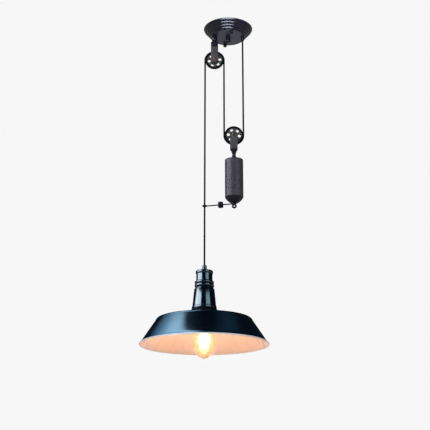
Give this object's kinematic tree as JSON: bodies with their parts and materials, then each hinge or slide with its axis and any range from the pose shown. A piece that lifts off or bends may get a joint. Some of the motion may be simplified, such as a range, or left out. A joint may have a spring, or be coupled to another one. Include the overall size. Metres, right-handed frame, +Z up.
{
  "type": "rise and fall pendant lamp",
  "caption": "Ceiling pendant lamp with a dished shade that hangs from a cord over pulleys and a round counterweight, and slides up and down.",
  "frame": {"origin": "middle of the canopy's rim on the ceiling, at the middle of the crossbar's upper face", "axes": "+Z is up, out of the room into the ceiling; +X goes from the lamp's side to the counterweight's side; +Y is along the pulley axles, away from the picture's viewer"},
  "size_m": [0.3597, 0.3598, 1.012],
  "materials": {
    "black_enamel": "gloss",
    "black_satin": "satin",
    "strap_grey": "satin",
    "wheel_grey": "satin",
    "copper": "satin",
    "brass": "satin",
    "steel": "satin",
    "cord_black": "matte",
    "core_insulation": "satin",
    "terminal_white": "satin",
    "holder_black": "satin",
    "porcelain": "satin",
    "nickel": "polished",
    "amber_glass": "polished",
    "clear_glass": "polished",
    "filament": "matte"
  },
  "bodies": {
    "ceiling_side": {"ceiling_crossbar": "steel", "canopy_studs": "steel", "centre_stud": "steel", "canopy": "black_enamel", "canopy_nuts": "black_satin", "centre_finial": "black_satin", "terminal_block": "terminal_white", "terminal_screws": "steel", "hanger_stem": "black_satin", "hanger_washer": "steel", "hanger_nut": "steel", "cord_gland": "black_satin", "gland_nut": "steel", "canopy_cord_tail": "cord_black", "core_wires": "core_insulation", "upper_yoke": "strap_grey", "upper_axle": "copper", "upper_spacers": "terminal_white", "upper_cord_wrap": "cord_black", "lamp_cord_run": "cord_black", "middle_cord_run": "cord_black", "canopy_cord_run": "cord_black"},
    "upper_wheel_set": {"upper_wheel": "wheel_grey", "upper_bush": "brass"},
    "counterweight": {"lower_yoke": "strap_grey", "lower_axle": "brass", "lower_spacers": "terminal_white", "lower_cord_wrap": "cord_black", "weight_neck": "black_satin", "weight_body": "black_satin", "weight_eye": "black_satin", "guide_rod_inner": "black_satin", "guide_rod_outer": "black_satin", "guide_coupler": "black_satin", "guide_screws": "steel"},
    "lower_wheel_set": {"lower_wheel": "wheel_grey", "lower_bush": "brass"},
    "lamp": {"cord_grip": "holder_black", "housing": "black_enamel", "nipple": "steel", "nipple_nuts": "steel", "lamp_cord_tail": "cord_black", "lamp_cores": "core_insulation", "holder_cap": "holder_black", "holder_skirt": "holder_black", "holder_inner": "porcelain", "thread_shell": "brass", "centre_contact": "brass", "holder_screws": "steel", "shade_ring": "holder_black", "shade": "black_enamel", "bulb_contact": "nickel", "bulb_cap": "nickel", "bulb_glass": "amber_glass", "bulb_stem": "clear_glass", "bulb_filaments": "filament", "bulb_supports": "steel"}
  },
  "joints": [
    {"name": "lamp_slide", "type": "slide", "parent": "ceiling_side", "child": "lamp", "axis": [0, 0, 1], "range_m": [-0.4, 0.1], "deforming": ["lamp_cord_run"]},
    {"name": "counterweight_slide", "type": "slide", "parent": "ceiling_side", "child": "counterweight", "axis": [0, 0, 1], "range_m": [-0.051, 0.201], "deforming": ["middle_cord_run", "canopy_cord_run"]},
    {"name": "upper_wheel_turn", "type": "hinge", "parent": "ceiling_side", "child": "upper_wheel_set", "pos_m": [-0.0415, 0, -0.105], "axis": [0, 1, 0], "continuous": true},
    {"name": "lower_wheel_turn", "type": "hinge", "parent": "counterweight", "child": "lower_wheel_set", "pos_m": [0.0155, 0, -0.35], "axis": [0, 1, 0], "continuous": true}
  ],
  "couplings": [
    {"joint": "counterweight_slide", "follows": "lamp_slide", "ratio": -0.5},
    {"joint": "upper_wheel_turn", "follows": "lamp_slide", "rad_per_m": 35.088},
    {"joint": "lower_wheel_turn", "follows": "lamp_slide", "rad_per_m": -17.544}
  ]
}
